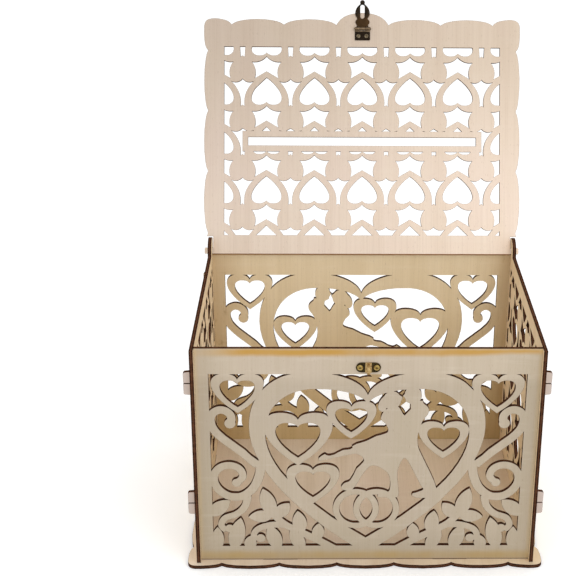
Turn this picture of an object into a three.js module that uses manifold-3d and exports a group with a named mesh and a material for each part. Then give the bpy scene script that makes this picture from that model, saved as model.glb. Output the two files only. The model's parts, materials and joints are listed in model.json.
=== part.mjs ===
// Wedding card box: an open-topped box of laser-cut birch plywood with pierced hearts and scrolls,
// a scalloped lid with a card slot that swings on its own two side pins, and a small bronze hasp.
//
// Millimetres. X runs to the right, Y to the back, Z up. The origin is the centre of the base's underside.
// The lid stands open, leaning back, which is its rest pose.
import * as THREE from "three";
import Module from "manifold-3d";

const wasm = await Module();
wasm.setup();

// ---------------------------------------------------------------- driving dimensions
const PLY = 3.5;
const WIDTH = 301;
const DEPTH = 228;
const WALL_TOP = 214;
const FRONT_TOP = 214;
const BACK_TOP = 211.5;
const SETBACK = 5;
const FIT = 0.15;
const CHORD = 0.36;
const LATTICE_CHORD = 0.6;
const FINE = 0.04;

const HALF_W = WIDTH / 2;
const HALF_D = DEPTH / 2;
const INNER_X = HALF_W - PLY;
const PANEL_Y = HALF_D - SETBACK;

// window of the front and back panels
const WIN_X = 135.3;
const WIN_LOW = 18.1;
const WIN_HIGH = 189.8;
// the drawn fretwork sits this much below the height it is drawn at
const FRET_DROP = 1.4;

// snap tenons of the front and back panels
const TENON_OUT = 6;
const TENONS = [
  [52.2, 73.4],
  [170.8, 191.2],
];
const TENON_BARB = 0.8;
const TENON_SLIT = 0.7;

// tabs that key the walls into the base
const FOOT_LONG = 30;
const FOOT_SIDE_Y = 58;
const FOOT_FRONT_X = 76;

// hinge
const HINGE_Y = 105;
const HINGE_Z = WALL_TOP + PLY / 2;
const OPEN_DEG = 112.9;
const EAR_R = 13.2;
const PIN_HOLE_R = 3.6;
const PIN_WIDE = 6;
const PIN_REACH = 154.2;

// lid, measured from the hinge axis
const LID_REAR = -3;
const TONGUE_X = 146;
const WING_START = 14.2;
const LID_CUSP_X = 151.3;
const LID_SIDE_CUSPS = [18.3, 78.1, 137.4, 196.7];
const LID_FRONT_CUSP = 222;
const LID_WIN_X = 135.4;
const LID_WIN_LOW = 15.3;
const LID_WIN_HIGH = 200.3;
const LID_TIP_ROW = 170;
const SLOT_X = 112;
const SLOT_LOW = 103.4;
const SLOT_HIGH = 111.7;
const BAND_X = 117.5;
const BAND_LOW = 97.6;
const BAND_HIGH = 117.6;

// pierced lattice of hearts
const CELL_X = 47;
const CELL_Y = 48.4;

// side panels
const SIDE_CELL = 51;
const SIDE_WIN_Y = 97.5;
const SIDE_WIN_LOW = 19;
const SIDE_WIN_HIGH = 199.5;
const SIDE_TIP_ROW = 187;

// scallops of the base and the lid
const CUSPS_X = [25.6, 77, 128.4];
const BASE_CUSPS_Y = [29.8, 89.5];
const BASE_CUSP_X = 155.3;
const BASE_BULGE = 4.8;
const BASE_SIDE_BULGE = 3.2;
const LID_BULGE = 5.5;
const LID_SIDE_BULGE = 3.7;
const LID_CROWN = 12;
const BASE_CORNER = [3.4, 4.4];
const LID_CORNER = [4, 5.8];

// hasp
const LEAF_X = 7.5;
const LEAF_START = 207;
const LEAF_THICK = 0.7;
const BARREL_U = 218.3;
const BARREL_R = 1.5;
const HASP_PIN_R = 0.7;
const KNUCKLE_X = 2.5;
const ARM_THICK = 0.8;
const ARM_SLOT = [9.9, 23.6];
const ARM_SLOT_W = 4.2;
const KNOB_R = 2.4;
const KNOB_V = 25.9;
const STAPLE_Z = 196.5;
const STAPLE_HALF_X = 10.6;
const STAPLE_HALF_Z = 4.6;
const STAPLE_THICK = 0.8;
const STAPLE_REACH = 9.6;
const BOSS_HALF_X = 2.6;
const BOSS_HALF_Z = 4.5;
const BOSS_RISE = 0.8;
const SCREW_X = 3.9;
const SCREW_U = 211.1;
const STAPLE_SCREW_X = 7;
const LEAF_SCREW_R = 2.2;
const STAPLE_SCREW_R = 2.7;
const SCREW_SHANK_R = 0.95;
const SCREW_HOLE_R = 1.15;

// ---------------------------------------------------------------- materials
const plyFace = (name, colour) =>
  new THREE.MeshStandardMaterial({ name, color: colour, roughness: 0.75, metalness: 0 });
const bronze = (name, colour) =>
  new THREE.MeshStandardMaterial({ name, color: colour, roughness: 0.45, metalness: 0.85 });

// ---------------------------------------------------------------- solids from closed shapes
// A closed BufferGeometry as a manifold solid, with its coincident vertices joined.
function solidOf(geometry) {
  const flat = geometry.index ? geometry.toNonIndexed() : geometry;
  const pos = flat.getAttribute("position");
  const seen = new Map();
  const verts = [];
  const tris = [];
  for (let i = 0; i < pos.count; i++) {
    const p = [pos.getX(i), pos.getY(i), pos.getZ(i)];
    const key = p.map((v) => Math.round(v * 1e4)).join(",");
    if (!seen.has(key)) {
      seen.set(key, verts.length / 3);
      verts.push(...p);
    }
    tris.push(seen.get(key));
  }
  const kept = [];
  for (let i = 0; i < tris.length; i += 3) {
    const [a, b, c] = tris.slice(i, i + 3);
    if (a !== b && b !== c && a !== c) kept.push(a, b, c);
  }
  const data = { numProp: 3, vertProperties: new Float32Array(verts), triVerts: new Uint32Array(kept) };
  return new wasm.Manifold(new wasm.Mesh(data));
}

// A solid's surface as three.js geometry.
function geometryOf(solid) {
  const m = solid.getMesh();
  const n = m.numProp;
  const positions = new Float32Array(m.numVert * 3);
  for (let i = 0; i < m.numVert; i++) {
    for (let k = 0; k < 3; k++) positions[i * 3 + k] = m.vertProperties[i * n + k];
  }
  const geometry = new THREE.BufferGeometry();
  geometry.setAttribute("position", new THREE.BufferAttribute(positions, 3));
  geometry.setIndex(new THREE.BufferAttribute(new Uint32Array(m.triVerts), 1));
  return geometry;
}

// Leaves out the points of a line that lie closer to the line without them than a tolerance.
function thinned(points, tolerance) {
  const a = points[0];
  const b = points[points.length - 1];
  const long = Math.hypot(b.x - a.x, b.y - a.y) || 1e-9;
  let far = 0;
  let at = 0;
  for (let i = 1; i < points.length - 1; i++) {
    const p = points[i];
    const off = Math.abs((b.x - a.x) * (a.y - p.y) - (a.x - p.x) * (b.y - a.y)) / long;
    if (off > far) {
      far = off;
      at = i;
    }
  }
  if (far <= tolerance) return [a, b];
  const before = thinned(points.slice(0, at + 1), tolerance);
  const after = thinned(points.slice(at), tolerance);
  return [...before.slice(0, -1), ...after];
}

// A flat shape made into a plate between two heights, its curves cut into chords that keep to a tolerance.
// lift slides the whole shape along y.
function plate(shape, low, high, segments = 4, tolerance = CHORD, lift = 0) {
  const points = shape.getPoints(segments);
  const first = points[0];
  if (points[points.length - 1].distanceTo(first) < 1e-6) points.pop();
  const reach = points.map((p) => p.distanceTo(first));
  const turn = reach.indexOf(Math.max(...reach));
  const there = thinned(points.slice(0, turn + 1), tolerance);
  const back = thinned([...points.slice(turn), first], tolerance);
  const loop = new THREE.Shape([...there.slice(0, -1), ...back.slice(0, -1)]);
  const geometry = new THREE.ExtrudeGeometry(loop, { depth: high - low, bevelEnabled: false });
  geometry.translate(0, lift, low);
  return solidOf(geometry);
}

const CUT_LOW = -9;
const CUT_HIGH = 9;
function cutter(shape, segments = 4, tolerance = CHORD) {
  return plate(shape, CUT_LOW, CUT_HIGH, segments, tolerance);
}

// The same for a shape of the drawn fretwork.
function fret(shape, segments = 4, tolerance = CHORD) {
  return plate(shape, CUT_LOW, CUT_HIGH, segments, tolerance, -FRET_DROP);
}

// The slice of a thick solid between two heights: its flat faces come out in one piece.
const sheet = (solid, low, high) => solid.intersect(plate(rectangle(-400, -400, 400, 400), low, high));

const joined = (solids) => solids.reduce((a, b) => a.add(b));

function polygon(points) {
  const shape = new THREE.Shape();
  points.forEach(([x, y], i) => (i ? shape.lineTo(x, y) : shape.moveTo(x, y)));
  shape.closePath();
  return shape;
}

const rectangle = (x0, y0, x1, y1) =>
  polygon([
    [x0, y0],
    [x1, y0],
    [x1, y1],
    [x0, y1],
  ]);

function disc(x, y, r) {
  const shape = new THREE.Shape();
  shape.absarc(x, y, r, 0, 2 * Math.PI, false);
  return shape;
}

function ellipse(x, y, rx, ry, turn = 0) {
  const shape = new THREE.Shape();
  shape.absellipse(x, y, rx, ry, 0, 2 * Math.PI, false, turn);
  return shape;
}

// A round bar along X.
function barX(x0, x1, y, z, r, sides = 14) {
  const geometry = new THREE.CylinderGeometry(r, r, x1 - x0, sides);
  geometry.rotateZ(Math.PI / 2);
  geometry.translate((x0 + x1) / 2, y, z);
  return solidOf(geometry);
}

// ---------------------------------------------------------------- hearts, bands, leaves
// A heart: its tip and lobes lie on x, and the heart points whichever way the tip lies from the top.
function heart(x, tip, top, notch, half, wideAt = 0.76) {
  const wide = tip + (top - tip) * wideAt;
  const rise = wide - tip;
  const lobe = top - wide;
  const shape = new THREE.Shape();
  shape.moveTo(x, tip);
  for (const side of [1, -1]) {
    const h = half * side;
    const up = [
      [x + 0.58 * h, tip + 0.31 * rise, x + h, tip + 0.68 * rise, x + h, wide],
      [x + h, wide + 0.6 * lobe, x + 0.8 * h, top, x + 0.5 * h, top],
      [x + 0.25 * h, top, x + 0.04 * h, notch + 0.6 * (top - notch), x, notch],
    ];
    if (side > 0) {
      up.forEach((c) => shape.bezierCurveTo(...c));
    } else {
      const [a, b, c] = up;
      shape.bezierCurveTo(c[2], c[3], c[0], c[1], b[4], b[5]);
      shape.bezierCurveTo(b[2], b[3], b[0], b[1], a[4], a[5]);
      shape.bezierCurveTo(a[2], a[3], a[0], a[1], x, tip);
    }
  }
  return shape;
}

// The outline of a band that follows a smooth line through points, its width running from w0 to w1.
function band(points, w0, w1 = w0, steps = 24) {
  const line = new THREE.SplineCurve(points.map(([x, y]) => new THREE.Vector2(x, y)));
  const left = [];
  const right = [];
  for (let i = 0; i <= steps; i++) {
    const t = i / steps;
    const p = line.getPoint(t);
    const d = line.getTangent(t);
    const w = (w0 + (w1 - w0) * t) / 2;
    left.push([p.x - d.y * w, p.y + d.x * w]);
    right.unshift([p.x + d.y * w, p.y - d.x * w]);
  }
  return polygon([...left, ...right]);
}

// A smooth closed outline through points.
function outline(points, steps) {
  const closed = points.map(([x, y]) => new THREE.Vector3(x, y, 0));
  const curve = new THREE.CatmullRomCurve3(closed, true, "catmullrom", 0.5);
  return polygon(curve.getPoints(steps).slice(0, -1).map((p) => [p.x, p.y]));
}

// A leaf from its foot to its tip, bulging by half its width on both sides.
function leaf(x0, y0, x1, y1, wide) {
  const dx = x1 - x0;
  const dy = y1 - y0;
  const long = Math.hypot(dx, dy);
  const nx = (-dy / long) * wide * 0.72;
  const ny = (dx / long) * wide * 0.72;
  const shape = new THREE.Shape();
  shape.moveTo(x0, y0);
  const low = [x0 + 0.2 * dx, y0 + 0.2 * dy];
  const high = [x0 + 0.7 * dx, y0 + 0.7 * dy];
  shape.bezierCurveTo(low[0] + nx, low[1] + ny, high[0] + nx, high[1] + ny, x1, y1);
  shape.bezierCurveTo(high[0] - nx, high[1] - ny, low[0] - nx, low[1] - ny, x0, y0);
  return shape;
}

// ---------------------------------------------------------------- the pierced lattice
// One row of holes: heart, star above it and tulip beside it. A row is placed by the tip of its hearts;
// dir is +1 when the tips point along +y and -1 when they point along -y.
function latticeHoles(x, tip, cell, dir) {
  const k = cell / CELL_X;
  const px = (v) => x + v * k;
  const py = (v) => tip + v * dir;
  const holes = [heart(x, tip, py(-26.6), py(-23.8), 14.7 * k)];

  const star = new THREE.Shape();
  star.moveTo(px(0), py(20.7));
  star.quadraticCurveTo(px(5.5), py(14.4), px(14.3), py(15.4));
  star.quadraticCurveTo(px(8.6), py(8), px(11.6), py(-0.6));
  star.quadraticCurveTo(px(4), py(4.9), px(0), py(6.2));
  star.quadraticCurveTo(px(-4), py(4.9), px(-11.6), py(-0.6));
  star.quadraticCurveTo(px(-8.6), py(8), px(-14.3), py(15.4));
  star.quadraticCurveTo(px(-5.5), py(14.4), px(0), py(20.7));
  holes.push(star);

  const mid = CELL_X / 2;
  const tulip = new THREE.Shape();
  tulip.moveTo(px(mid), py(-1.4));
  tulip.quadraticCurveTo(px(mid + 4.6), py(-6.4), px(mid + 11), py(-3.6));
  tulip.quadraticCurveTo(px(mid + 2.2), py(-12.5), px(mid + 2), py(-21));
  tulip.lineTo(px(mid + 1.9), py(-28));
  tulip.lineTo(px(mid), py(-26.6));
  tulip.lineTo(px(mid - 1.9), py(-28));
  tulip.lineTo(px(mid - 2), py(-21));
  tulip.quadraticCurveTo(px(mid - 2.2), py(-12.5), px(mid - 11), py(-3.6));
  tulip.quadraticCurveTo(px(mid - 4.6), py(-6.4), px(mid), py(-1.4));
  holes.push(tulip);
  return holes;
}

// All the lattice holes inside a window.
function lattice(win, centre, firstTip, rows, columns, cell, dir) {
  const [x0, y0, x1, y1] = win;
  const all = [];
  for (let r = 0; r < rows; r++) {
    for (let c = -columns; c <= columns; c++) {
      for (const hole of latticeHoles(centre + c * cell, firstTip - r * CELL_Y, cell, dir)) {
        const pts = hole.getPoints(3);
        const inX = pts.some((p) => p.x > x0 && p.x < x1);
        const inY = pts.some((p) => p.y > y0 && p.y < y1);
        if (inX && inY) all.push(cutter(hole, 4, LATTICE_CHORD));
      }
    }
  }
  return joined(all).intersect(cutter(rectangle(x0, y0, x1, y1)));
}

// ---------------------------------------------------------------- scalloped outlines
// Adds shallow lobes to a path, one from each corner point to the next.
function lobes(path, corners, outX, outY, bulge) {
  for (let i = 1; i < corners.length; i++) {
    const [ax, ay] = corners[i - 1];
    const [bx, by] = corners[i];
    const lean = 0.14;
    const cx = (bx - ax) * lean;
    const cy = (by - ay) * lean;
    const b = bulge * 1.33;
    const first = [ax + cx + outX * b, ay + cy + outY * b];
    const second = [bx - cx + outX * b, by - cy + outY * b];
    path.bezierCurveTo(...first, ...second, bx, by);
  }
}

// The rounded lobe at a corner: from a side cusp round to an end cusp, or back again.
function cornerLobe(path, side, end, sx, sy, [reachX, reachY], fromSide) {
  const [ax, ay] = side;
  const [bx, by] = end;
  const cornerX = ax + sx * reachX;
  const cornerY = by + sy * reachY;
  const r = 9;
  const curves = [
    [ax + sx * reachX * 1.1, ay + sy * 3, cornerX, cornerY - sy * (r + 6), cornerX, cornerY - sy * r],
    [cornerX, cornerY - sy * r * 0.3, cornerX - sx * r * 0.3, cornerY, cornerX - sx * r, cornerY],
    [cornerX - sx * (r + 6), cornerY, bx + sx * 3, by + sy * reachY * 0.9, bx, by],
  ];
  if (fromSide) {
    curves.forEach((c) => path.bezierCurveTo(...c));
    return;
  }
  const ends = [[ax, ay], ...curves.map((c) => [c[4], c[5]])];
  for (let i = curves.length - 1; i >= 0; i--) {
    const c = curves[i];
    path.bezierCurveTo(c[2], c[3], c[0], c[1], ends[i][0], ends[i][1]);
  }
}

// ---------------------------------------------------------------- base
function basePlate() {
  const mirrored = (list) => [...list.map((v) => -v).reverse(), ...list];
  const front = mirrored(CUSPS_X).map((x) => [x, -HALF_D]);
  const sideY = mirrored(BASE_CUSPS_Y);
  const right = sideY.map((y) => [BASE_CUSP_X, y]);
  const back = front.map(([x]) => [-x, HALF_D]);
  const left = right.map(([, y]) => [-BASE_CUSP_X, -y]);
  const last = (a) => a[a.length - 1];
  const shape = new THREE.Shape();
  shape.moveTo(...front[0]);
  lobes(shape, front, 0, -1, BASE_BULGE);
  cornerLobe(shape, right[0], last(front), 1, -1, BASE_CORNER, false);
  lobes(shape, right, 1, 0, BASE_SIDE_BULGE);
  cornerLobe(shape, last(right), back[0], 1, 1, BASE_CORNER, true);
  lobes(shape, back, 0, 1, BASE_BULGE);
  cornerLobe(shape, left[0], last(back), -1, 1, BASE_CORNER, false);
  lobes(shape, left, -1, 0, BASE_SIDE_BULGE);
  cornerLobe(shape, last(left), front[0], -1, -1, BASE_CORNER, true);
  let solid = plate(shape, 0, PLY, 10);
  const halfFoot = FOOT_LONG / 2 + FIT;
  for (const s of [-1, 1]) {
    for (const t of [-1, 1]) {
      const sideX = s * (HALF_W - PLY / 2);
      const panelY = t * (PANEL_Y - PLY / 2);
      const y = t * FOOT_SIDE_Y;
      const x = s * FOOT_FRONT_X;
      const half = PLY / 2 + FIT;
      solid = solid.subtract(cutter(rectangle(sideX - half, y - halfFoot, sideX + half, y + halfFoot)));
      solid = solid.subtract(cutter(rectangle(x - halfFoot, panelY - half, x + halfFoot, panelY + half)));
    }
  }
  return solid;
}

// ---------------------------------------------------------------- side panels
// Drawn with y to the back as local x and z up as local y; flip mirrors the drawing for the left wall.
function sidePanel(flip) {
  const shape = new THREE.Shape();
  const m = (y) => y * flip;
  const foot = (y0, y1) => {
    shape.lineTo(m(y0), PLY);
    shape.lineTo(m(y0), 0);
    shape.lineTo(m(y1), 0);
    shape.lineTo(m(y1), PLY);
  };
  const half = FOOT_LONG / 2;
  shape.moveTo(m(-HALF_D), PLY);
  foot(-FOOT_SIDE_Y - half, -FOOT_SIDE_Y + half);
  foot(FOOT_SIDE_Y - half, FOOT_SIDE_Y + half);
  shape.lineTo(m(HALF_D), PLY);
  // the ear rises along the rear edge, rounds over the hinge axis and sweeps down to the top edge
  const reach = HALF_D - HINGE_Y;
  const rear = Math.acos(reach / EAR_R);
  const sweep = 0.9;
  const frontAngle = Math.PI * 1.02;
  shape.lineTo(m(HALF_D), HINGE_Z + EAR_R * Math.sin(rear));
  const arcSteps = 10;
  for (let i = 1; i <= arcSteps; i++) {
    const a = rear + ((frontAngle - rear) * i) / arcSteps;
    shape.lineTo(m(HINGE_Y + EAR_R * Math.cos(a)), HINGE_Z + EAR_R * Math.sin(a));
  }
  const footY = HINGE_Y - EAR_R;
  shape.quadraticCurveTo(m(footY - 0.3), WALL_TOP, m(footY - sweep), WALL_TOP);
  shape.lineTo(m(-HALF_D), WALL_TOP);
  shape.closePath();
  let solid = plate(shape, 0, PLY, 4);
  const win = [-SIDE_WIN_Y, SIDE_WIN_LOW, SIDE_WIN_Y, SIDE_WIN_HIGH];
  solid = solid.subtract(lattice(win, 0, SIDE_TIP_ROW, 5, 2, SIDE_CELL, -1));
  solid = solid.subtract(cutter(disc(m(HINGE_Y), HINGE_Z, PIN_HOLE_R), 10, 0.02));
  for (const [low, high] of TENONS) {
    for (const t of [-1, 1]) {
      const mid = t * (PANEL_Y - PLY / 2);
      const half = PLY / 2 + FIT;
      solid = solid.subtract(cutter(rectangle(mid - half, low - FIT, mid + half, high + FIT)));
    }
  }
  return solid;
}

// ---------------------------------------------------------------- front and back panels
// A split snap tenon on the right or left edge.
function tenon(low, high, side) {
  const mid = (low + high) / 2;
  const shoulder = HALF_W + FIT;
  const out = HALF_W + TENON_OUT;
  const slit = TENON_SLIT / 2;
  const slitEnd = INNER_X + 0.5;
  const pts = [
    [INNER_X - 1, low],
    [shoulder, low],
    [shoulder + 0.8, low - TENON_BARB],
    [out - 0.9, low - TENON_BARB * 0.4],
    [out, low + 0.9],
    [out, mid - slit - 0.6],
    [out - 0.6, mid - slit],
    [slitEnd, mid - slit],
    [slitEnd, mid + slit],
    [out - 0.6, mid + slit],
    [out, mid + slit + 0.6],
    [out, high - 0.9],
    [out - 0.9, high + TENON_BARB * 0.4],
    [shoulder + 0.8, high + TENON_BARB],
    [shoulder, high],
    [INNER_X - 1, high],
  ];
  return polygon(pts.map(([x, y]) => [x * side, y]));
}

// Ring-shaped heart: what is added and what is then cut out of it.
const ringHearts = [
  { x: -111, outer: [153.6, 191.8, 186.4, 22.6], inner: [159.8, 185.2, 181.6, 14.8] },
  { x: 111, outer: [153.6, 191.8, 186.4, 22.6], inner: [159.8, 185.2, 181.6, 14.8] },
  { x: -59.8, outer: [102, 154.4, 147.6, 30], inner: [110.2, 144.3, 139.8, 19.3] },
  { x: -13.9, outer: [128.6, 165.6, 160.4, 21.6], inner: [135.4, 158.4, 155, 13.8] },
  { x: -46.9, outer: [63.2, 103.2, 97.9, 23.2], inner: [70.2, 96, 92.4, 15.2] },
  { x: 66, outer: [109, 146, 140.6, 22], inner: [115.8, 139.6, 136, 14] },
];

// Scroll work on the left; the right is its mirror image.
function scrollWork(side) {
  const m = (points) => points.map(([x, y]) => [x * side, y]);
  const upper = [
    [117, 145.5],
    [117, 151],
    [120.6, 155.4],
    [126.5, 157],
    [132.6, 153.6],
    [134.6, 146.5],
    [131.6, 137],
    [122, 126.5],
    [108, 115],
    [95, 102.5],
  ];
  const lower = [
    [91.5, 107],
    [93.5, 93],
    [99, 79.5],
    [109.5, 71],
    [121.5, 71.6],
    [130.6, 79.6],
    [133.4, 90.5],
    [128.6, 99.4],
    [119.5, 102.4],
    [111, 99],
    [108, 91.5],
    [111.6, 86.4],
  ];
  return [
    fret(band(m(upper), 7.4, 7.8, 36)),
    fret(disc(118 * side, 143.8, 4.9), 7),
    fret(band(m(lower), 8.4, 6.6, 48)),
    fret(disc(113.6 * side, 84.8, 4.2), 6),
  ];
}

// Leafy vine that fills the lower corner on one side, under the great heart.
function vine(side) {
  const m = (points) => points.map(([x, y]) => [x * side, y]);
  const stem = [
    [26, 15],
    [41, 24.5],
    [57, 33],
    [72, 42],
    [83, 53.5],
  ];
  const curl = [
    [70, 41],
    [83, 41.5],
    [95, 37.5],
    [99.5, 30.5],
    [96, 25.6],
  ];
  const tendril = [
    [104, 72],
    [107, 60],
    [115.5, 52],
    [124.5, 48.5],
    [128, 41],
    [123.5, 35.5],
  ];
  const leaves = [
    [57, 32, 60.5, 56, 12],
    [43, 25, 41.5, 43, 10.5],
    [80, 49, 67.5, 64, 11.5],
    [82, 50, 91, 79, 13],
    [82, 51, 104, 49.5, 11.5],
    [55, 15, 67, 37, 11.5],
    [77, 15, 86, 41.5, 12.5],
    [118, 15, 110.5, 49, 13.5],
    [131.5, 15, 131.5, 39.5, 10.5],
    [139, 51, 119.5, 67, 12.5],
    [104, 15, 101, 31, 10.5],
  ];
  return [
    fret(band(m(stem), 7.4, 6.8, 24)),
    fret(band(m(curl), 6.8, 5.6, 18)),
    fret(disc(93.4 * side, 27.4, 4.3), 6),
    fret(band(m(tendril), 7, 5.8, 20)),
    fret(disc(120.6 * side, 37.6, 4.3), 6),
    ...leaves.map(([x0, y0, x1, y1, w]) => fret(leaf(x0 * side, y0, x1 * side, y1, w), 8)),
  ];
}

// The dancing couple, a plain silhouette: two embracing figures, one with a foot kicked up behind.
function couple() {
  const bodies = [
    [14, 156],
    [11.5, 148],
    [15.5, 143.5],
    [17.6, 135.5],
    [8, 131.6],
    [-1, 126.6],
    [-12.4, 121.8],
    [-13, 119.6],
    [-21, 117.6],
    [-32, 112.2],
    [-36.4, 113.8],
    [-41.8, 109.6],
    [-41, 106.8],
    [-34, 108.4],
    [-21, 111.6],
    [-9, 113.6],
    [-2.6, 107.4],
    [-9, 99],
    [-13, 90.5],
    [-15, 86.4],
    [-20, 84],
    [-22, 78.4],
    [-14, 76.5],
    [-8.6, 83],
    [-4, 92],
    [4.6, 102],
    [16.6, 96.4],
    [20.6, 88],
    [20.4, 78],
    [17.4, 74.6],
    [10.4, 73],
    [11.4, 69.6],
    [26, 69.4],
    [28.6, 73],
    [27.6, 84],
    [27.2, 97],
    [33, 109.4],
    [41, 96],
    [47.6, 82],
    [49.6, 77.4],
    [40.6, 73.8],
    [42, 70],
    [56, 69],
    [62, 76],
    [56.6, 93],
    [50, 107],
    [44.4, 121],
    [44, 133.6],
    [47.4, 146],
    [51.6, 153],
    [52.6, 157.6],
    [47.2, 163.6],
    [40, 163.4],
    [38.6, 160],
    [35.4, 156.6],
    [31.8, 151.8],
    [29, 156],
    [26.4, 160.2],
    [22, 162],
  ];
  // heads in profile, turned to each other: skull, then brow, nose and chin on plain proportions
  const herHead = ellipse(20.6, 166.2, 8, 8.8, -0.25);
  const herFace = polygon([
    [24, 172.8],
    [28.4, 170.6],
    [29.9, 168],
    [28.9, 165.6],
    [27.2, 162.4],
    [22, 160.6],
  ]);
  const herHair = outline(
    [
      [9.8, 156.6],
      [8.8, 161.4],
      [11.6, 168],
      [16.6, 173.4],
      [22.4, 175.4],
      [20, 168],
      [17, 160],
      [13.8, 155],
    ],
    48,
  );
  const hisHead = ellipse(38.6, 171, 7.4, 8.8, 0.1);
  const hisFace = polygon([
    [34, 177.4],
    [31.2, 173.6],
    [29.4, 170.6],
    [31.2, 168.8],
    [32.4, 165],
    [37, 162.6],
  ]);
  const hisNeck = polygon([
    [36.4, 166],
    [47.4, 166],
    [50, 158],
    [36.8, 158],
  ]);
  return [
    fret(outline(bodies, 236)),
    fret(herHead, 8),
    fret(herFace),
    fret(herHair),
    fret(hisHead, 8),
    fret(hisFace),
    fret(hisNeck),
  ];
}

// Two linked rings under the couple.
function linkedRings() {
  const centreX = 9;
  const centreY = 58;
  const rings = [-1, 1].map((s) => fret(disc(s * centreX, centreY, 20.4), 14));
  const holes = [-1, 1].map((s) => fret(disc(s * centreX, centreY, 14.6), 11));
  const each = rings.map((ring, i) => ring.subtract(holes[i]));
  return each[0].add(each[1]);
}

function panel(top) {
  const shape = new THREE.Shape();
  const half = FOOT_LONG / 2;
  shape.moveTo(-INNER_X, PLY);
  for (const x of [-FOOT_FRONT_X, FOOT_FRONT_X]) {
    shape.lineTo(x - half, PLY);
    shape.lineTo(x - half, 0);
    shape.lineTo(x + half, 0);
    shape.lineTo(x + half, PLY);
  }
  shape.lineTo(INNER_X, PLY);
  shape.lineTo(INNER_X, top);
  shape.lineTo(-INNER_X, top);
  shape.closePath();
  const frame = cutter(shape).subtract(cutter(rectangle(-WIN_X, WIN_LOW, WIN_X, WIN_HIGH)));

  const greatOuter = heart(0, 11, 193.2, 171.6, 102, 0.71);
  const greatInner = heart(0, 28, 177.2, 162.4, 88, 0.71);
  let work = fret(greatOuter, 14).subtract(fret(greatInner, 14));
  work = work.add(linkedRings());
  for (const side of [-1, 1]) {
    work = joined([work, ...scrollWork(side), ...vine(side)]);
  }
  work = joined([work, ...couple()]);
  work = joined([work, ...ringHearts.map((h) => fret(heart(h.x, ...h.outer), 8))]);
  for (const h of ringHearts) work = work.subtract(fret(heart(h.x, ...h.inner), 8));
  const seam = 2;
  work = work.intersect(
    cutter(rectangle(-WIN_X - seam, WIN_LOW - seam, WIN_X + seam, WIN_HIGH + seam)),
  );
  let solid = frame.add(work);
  for (const side of [-1, 1]) {
    for (const [low, high] of TENONS) {
      solid = solid.add(cutter(tenon(low, high, side), 1, FINE));
    }
  }
  solid = sheet(solid, 0, PLY);
  if (top === FRONT_TOP) {
    for (const s of [-1, 1]) {
      const hole = disc(s * STAPLE_SCREW_X, STAPLE_Z, SCREW_HOLE_R);
      const pilot = plate(hole, PLY - 2.8, PLY + 2, 5, FINE);
      solid = solid.subtract(pilot);
    }
  }
  return solid;
}

// ---------------------------------------------------------------- lid
// Local x is X, local y runs from the hinge axis to the free end, local z points to the lid's inner side.
function lidPanel() {
  const shape = new THREE.Shape();
  const pin = PIN_WIDE / 2;
  const chamfer = 0.7;
  const rightCusps = LID_SIDE_CUSPS.map((u) => [LID_CUSP_X, u]);
  const leftCusps = LID_SIDE_CUSPS.slice().reverse().map((u) => [-LID_CUSP_X, u]);
  const endCusps = CUSPS_X.slice().reverse().map((x) => [x, LID_FRONT_CUSP]);
  const farCusps = CUSPS_X.map((x) => [-x, LID_FRONT_CUSP]);
  shape.moveTo(-TONGUE_X, LID_REAR);
  shape.lineTo(PIN_REACH - chamfer, -pin);
  shape.lineTo(PIN_REACH, -pin + chamfer);
  shape.lineTo(PIN_REACH, pin - chamfer);
  shape.lineTo(PIN_REACH - chamfer, pin);
  shape.lineTo(TONGUE_X, pin);
  shape.lineTo(TONGUE_X, WING_START);
  shape.lineTo(LID_CUSP_X + 0.8, WING_START);
  shape.lineTo(...rightCusps[0]);
  lobes(shape, rightCusps, 1, 0, LID_SIDE_BULGE);
  cornerLobe(shape, rightCusps[3], endCusps[0], 1, 1, LID_CORNER, true);
  lobes(shape, endCusps, 0, 1, LID_BULGE);
  // the taller lobe in the middle carries the hasp
  const [cx, cu] = endCusps[2];
  const crown = cu + LID_CROWN;
  shape.bezierCurveTo(cx - 3.6, cu + 7, cx - 11, crown, 0, crown);
  shape.bezierCurveTo(-cx + 11, crown, -cx + 3.6, cu + 7, -cx, cu);
  lobes(shape, farCusps, 0, 1, LID_BULGE);
  cornerLobe(shape, leftCusps[0], farCusps[2], -1, 1, LID_CORNER, false);
  lobes(shape, leftCusps, -1, 0, LID_SIDE_BULGE);
  shape.lineTo(-LID_CUSP_X - 0.8, WING_START);
  shape.lineTo(-TONGUE_X, WING_START);
  shape.lineTo(-TONGUE_X, pin);
  shape.lineTo(-PIN_REACH + chamfer, pin);
  shape.lineTo(-PIN_REACH, pin - chamfer);
  shape.lineTo(-PIN_REACH, -pin + chamfer);
  shape.lineTo(-PIN_REACH + chamfer, -pin);
  shape.closePath();
  let solid = plate(shape, -PLY / 2, PLY / 2, 10);
  const win = [-LID_WIN_X, LID_WIN_LOW, LID_WIN_X, LID_WIN_HIGH];
  const zone = cutter(rectangle(-BAND_X, BAND_LOW, BAND_X, BAND_HIGH));
  solid = solid.subtract(lattice(win, 0, LID_TIP_ROW + CELL_Y, 5, 3, CELL_X, 1).subtract(zone));
  solid = solid.subtract(cutter(rectangle(-SLOT_X, SLOT_LOW, SLOT_X, SLOT_HIGH)));
  for (const s of [-1, 1]) {
    const hole = plate(disc(s * SCREW_X, SCREW_U, SCREW_HOLE_R), -1.3, PLY, 5, FINE);
    solid = solid.subtract(hole);
  }
  return solid;
}

// ---------------------------------------------------------------- hasp
const LEAF_LOW = PLY / 2 + 0.1;
const BARREL_W = LEAF_LOW + BARREL_R;

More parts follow.
